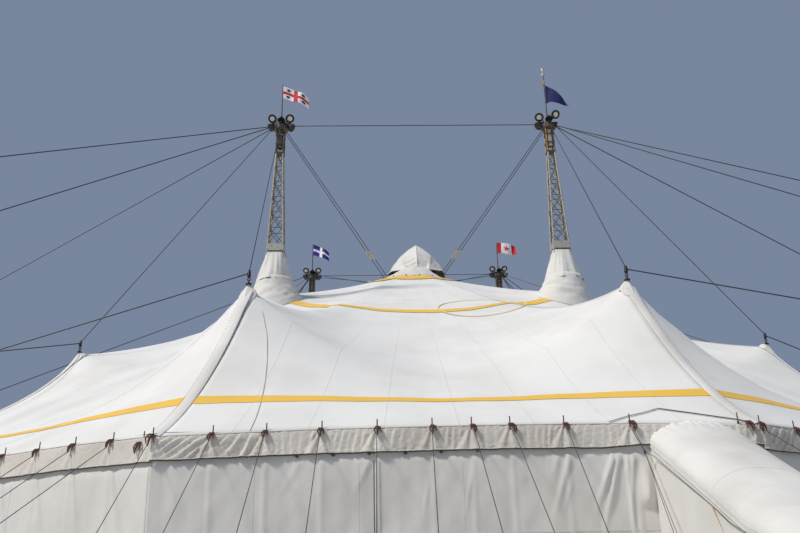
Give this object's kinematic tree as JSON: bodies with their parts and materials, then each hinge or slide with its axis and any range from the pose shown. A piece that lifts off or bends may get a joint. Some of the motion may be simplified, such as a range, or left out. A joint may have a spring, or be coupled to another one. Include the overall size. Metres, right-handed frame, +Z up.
{
  "type": "circus big top tent, 1:2 scale model",
  "caption": "Round white big top with lattice masts, a hooded cupola, ridge peaks hung from cables, canvas walls and a low entrance tunnel; made at half the real size.",
  "frame": {"origin": "on the ground, under the middle of the tent and of its outer anchors", "axes": "+Z up, -Y out of the front, where the entrance tunnel is, +X to the right seen from the front"},
  "size_m": [36.25, 39.25, 13.025],
  "materials": {
    "roof_canvas": "matt coated canvas, warm white",
    "valance_canvas": "matt wrinkled canvas, beige-grey",
    "band_canvas": "matt painted band, yellow",
    "wall_canvas": "matt canvas, light grey",
    "mast_steel": "weathered galvanised and cream-painted lattice",
    "pole_steel": "galvanised",
    "dark_fittings": "black shackles, lamps and collars",
    "lamp_glass": "pale lamp faces",
    "guy_rope": "dark rope",
    "strap_webbing": "red-brown webbing",
    "cable_steel": "dark wire rope",
    "flag_white_red": "matt cloth, white with a red cross",
    "flag_navy": "matt cloth, navy",
    "flag_red_white": "matt cloth, red and white",
    "flag_blue_white": "matt cloth, blue with a white cross"
  },
  "bodies": {
    "root": {"roof_panel_01": "roof_canvas", "roof_panel_02": "roof_canvas", "roof_panel_03": "roof_canvas", "roof_panel_04": "roof_canvas", "roof_panel_05": "roof_canvas", "roof_panel_06": "roof_canvas", "roof_panel_07": "roof_canvas", "roof_panel_08": "roof_canvas", "roof_panel_09": "roof_canvas", "roof_panel_10": "roof_canvas", "roof_panel_11": "roof_canvas", "roof_panel_12": "roof_canvas", "mast_cone_front_left": "roof_canvas", "mast_cone_front_right": "roof_canvas", "mast_cone_back_right": "roof_canvas", "mast_cone_back_left": "roof_canvas", "cupola_hood": "roof_canvas", "tunnel_roof": "roof_canvas", "wall_01_left_of_entrance": "wall_canvas", "wall_01_right_of_entrance": "wall_canvas", "wall_02": "wall_canvas", "wall_03": "wall_canvas", "wall_04": "wall_canvas", "wall_05": "wall_canvas", "wall_06": "wall_canvas", "wall_07": "wall_canvas", "wall_08": "wall_canvas", "wall_09": "wall_canvas", "wall_10": "wall_canvas", "wall_11": "wall_canvas", "wall_12": "wall_canvas", "tunnel_wall_left": "wall_canvas", "tunnel_wall_right": "wall_canvas", "mast_front_left": "mast_steel", "mast_front_right": "mast_steel", "mast_back_right": "mast_steel", "mast_back_left": "mast_steel", "perimeter_poles_01": "pole_steel", "perimeter_poles_02": "pole_steel", "perimeter_poles_03": "pole_steel", "perimeter_poles_04": "pole_steel", "perimeter_poles_05": "pole_steel", "perimeter_poles_06": "pole_steel", "perimeter_poles_07": "pole_steel", "perimeter_poles_08": "pole_steel", "perimeter_poles_09": "pole_steel", "perimeter_poles_10": "pole_steel", "perimeter_poles_11": "pole_steel", "perimeter_poles_12": "pole_steel", "tunnel_frame": "pole_steel", "eave_rope_and_guys": "guy_rope", "rigging_front": "cable_steel", "rigging_back": "cable_steel", "crown_ring_and_ties": "cable_steel", "flag_front_left": "flag_white_red", "flag_front_right": "flag_navy", "flag_back_right": "flag_red_white", "flag_back_left": "flag_blue_white"}
  },
  "joints": []
}
